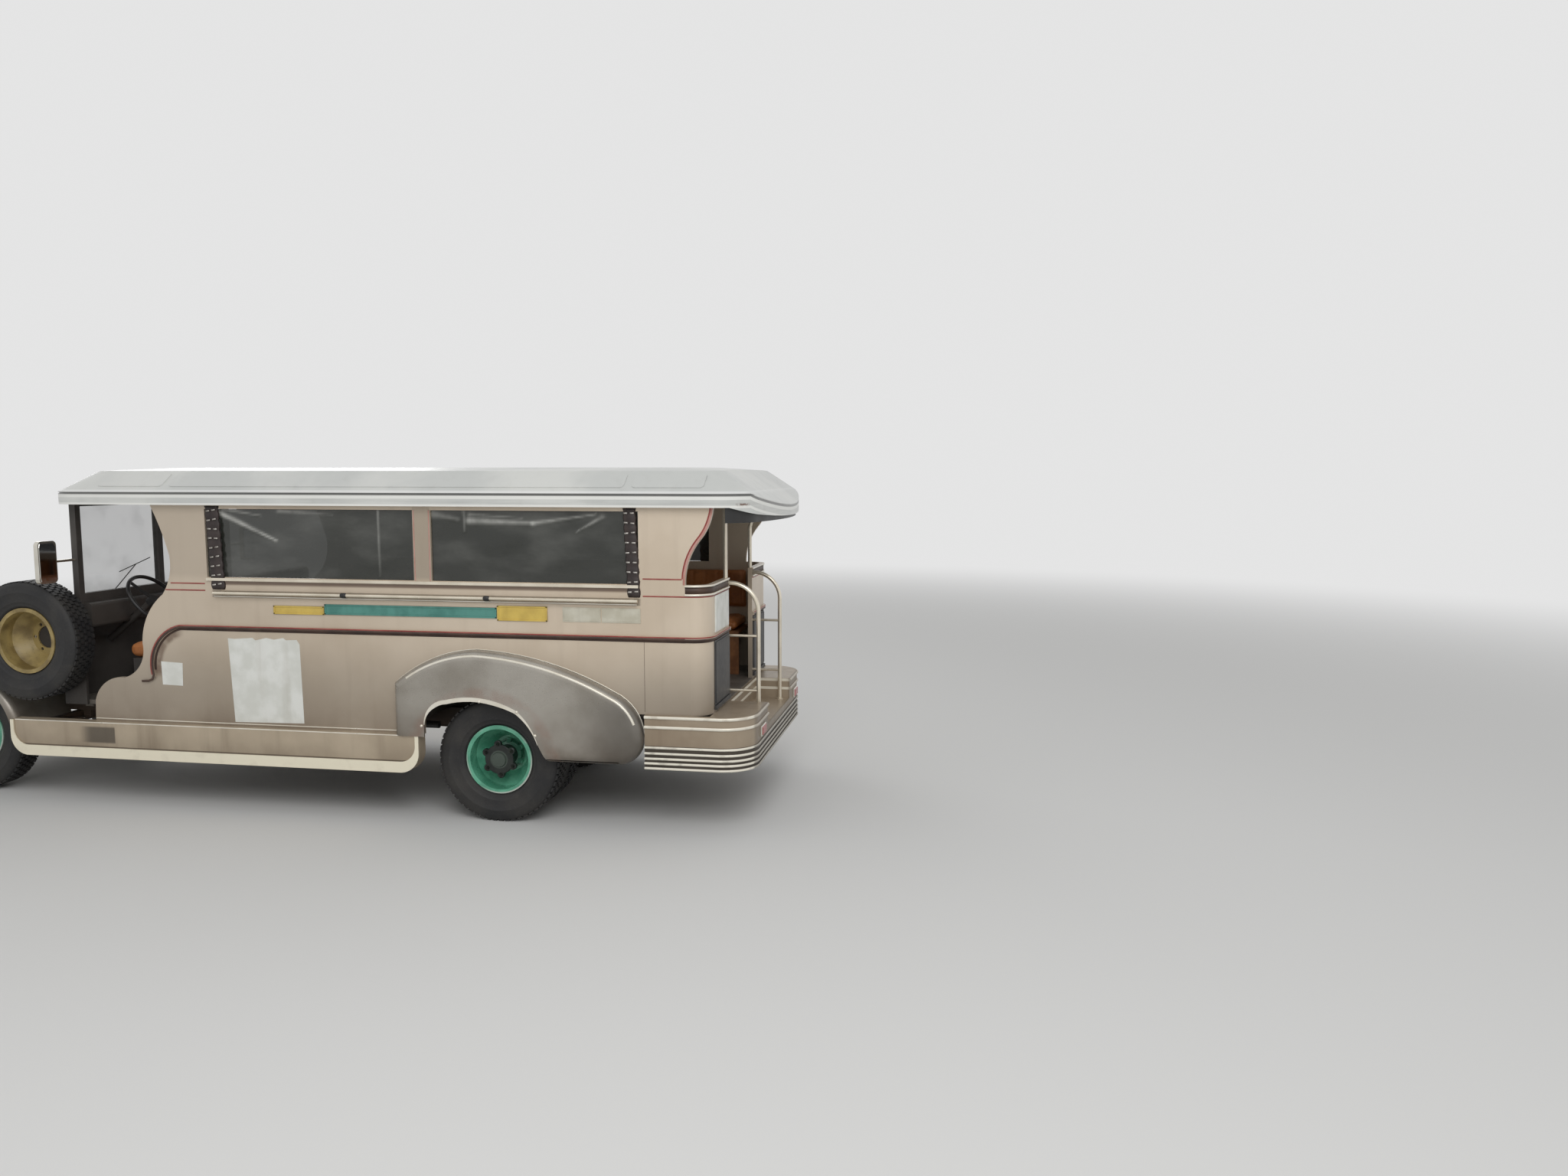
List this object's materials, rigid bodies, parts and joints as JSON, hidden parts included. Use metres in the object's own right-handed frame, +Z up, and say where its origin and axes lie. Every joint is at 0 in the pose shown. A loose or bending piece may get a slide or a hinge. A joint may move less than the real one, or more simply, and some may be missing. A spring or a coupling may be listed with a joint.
{
  "type": "jeepney",
  "caption": "Long open-sided passenger jeepney with lengthwise benches, twin rear wheels, steered front wheels and a bonnet that lifts.",
  "frame": {"origin": "on the ground, below the middle of the vehicle's length and width", "axes": "+X forwards along the vehicle, +Y to its left, +Z up"},
  "size_m": [6.46, 2.24, 2.262],
  "materials": {
    "body_metal": "satin",
    "fender_metal": "satin",
    "roof_white": "satin",
    "dark_band": "satin",
    "chassis_black": "matt",
    "engine_metal": "matt",
    "floor_plate": "matt",
    "bright_trim": "polished",
    "green_rim": "worn",
    "yellow_rim": "worn",
    "tyre": "matt",
    "bench_board": "varnished",
    "seat_cover": "satin",
    "wheel_plastic": "satin",
    "lamp_bright": "polished",
    "clear_sheet": "wrinkled",
    "screen_clear": "clear"
  },
  "bodies": {
    "chassis": {"frame": "chassis_black", "engine": "engine_metal", "axles": "chassis_black", "leaf_springs": "chassis_black", "fuel_tank": "chassis_black", "exhaust": "engine_metal", "floor": "floor_plate", "side_left": "body_metal", "side_right": "body_metal", "spare_rim": "yellow_rim", "spare_tyre": "tyre", "rear_corners": "body_metal", "rear_step": "fender_metal", "roof": "roof_white", "rear_skirt": "dark_band", "handrails": "bright_trim", "running_boards": "fender_metal", "rear_fenders": "fender_metal", "front_fenders": "fender_metal", "cowl": "floor_plate", "screen_frame": "floor_plate", "screen_glass": "screen_clear", "nose_sides": "body_metal", "grille": "bright_trim", "lamps": "lamp_bright", "bumper": "bright_trim", "bench_bases": "bench_board", "seat_cushions": "seat_cover", "cab_boards": "floor_plate", "mirrors": "bright_trim", "curtains": "clear_sheet", "window_rails": "bright_trim"},
    "rear_wheels_left": {"rear_rim_left": "green_rim", "rear_tyres_left": "tyre"},
    "knuckle_left": {"knuckle_left": "chassis_black"},
    "front_wheel_left": {"front_rim_left": "green_rim", "front_tyre_left": "tyre"},
    "rear_wheels_right": {"rear_rim_right": "green_rim", "rear_tyres_right": "tyre"},
    "knuckle_right": {"knuckle_right": "chassis_black"},
    "front_wheel_right": {"front_rim_right": "green_rim", "front_tyre_right": "tyre"},
    "track_rod": {"track_rod": "chassis_black"},
    "steering_wheel": {"steering_wheel": "wheel_plastic"},
    "bonnet": {"bonnet": "body_metal"}
  },
  "joints": [
    {"name": "rear_wheels_left_spin", "type": "hinge", "parent": "chassis", "child": "rear_wheels_left", "pos_m": [-1.47, 0.8, 0.403], "axis": [0, 1, 0], "continuous": true},
    {"name": "knuckle_left_steer", "type": "hinge", "parent": "chassis", "child": "knuckle_left", "pos_m": [2.48, 0.6, 0.403], "axis": [0, 0, 1], "range_deg": [-30, 30]},
    {"name": "front_wheel_left_spin", "type": "hinge", "parent": "knuckle_left", "child": "front_wheel_left", "pos_m": [2.48, 0.72, 0.403], "axis": [0, 1, 0], "continuous": true},
    {"name": "rear_wheels_right_spin", "type": "hinge", "parent": "chassis", "child": "rear_wheels_right", "pos_m": [-1.47, -0.8, 0.403], "axis": [0, 1, 0], "continuous": true},
    {"name": "knuckle_right_steer", "type": "hinge", "parent": "chassis", "child": "knuckle_right", "pos_m": [2.48, -0.6, 0.403], "axis": [0, 0, 1], "range_deg": [-30, 30]},
    {"name": "front_wheel_right_spin", "type": "hinge", "parent": "knuckle_right", "child": "front_wheel_right", "pos_m": [2.48, -0.72, 0.403], "axis": [0, 1, 0], "continuous": true},
    {"name": "track_rod_slide", "type": "slide", "parent": "chassis", "child": "track_rod", "axis": [0, 1, 0], "range_m": [-0.09, 0.09]},
    {"name": "steering_wheel_turn", "type": "hinge", "parent": "chassis", "child": "steering_wheel", "pos_m": [1.32, 0.4, 1.33], "axis": [-0.788, 0, 0.6157], "range_deg": [-540, 540]},
    {"name": "bonnet_lid", "type": "hinge", "parent": "chassis", "child": "bonnet", "pos_m": [1.736, 0, 1.31], "axis": [0, -1, 0], "range_deg": [0, 60]}
  ],
  "couplings": [
    {"joint": "knuckle_right_steer", "follows": "knuckle_left_steer", "ratio": 1},
    {"joint": "track_rod_slide", "follows": "knuckle_left_steer", "m_per_rad": -0.158},
    {"joint": "steering_wheel_turn", "follows": "knuckle_left_steer", "ratio": 16}
  ]
}
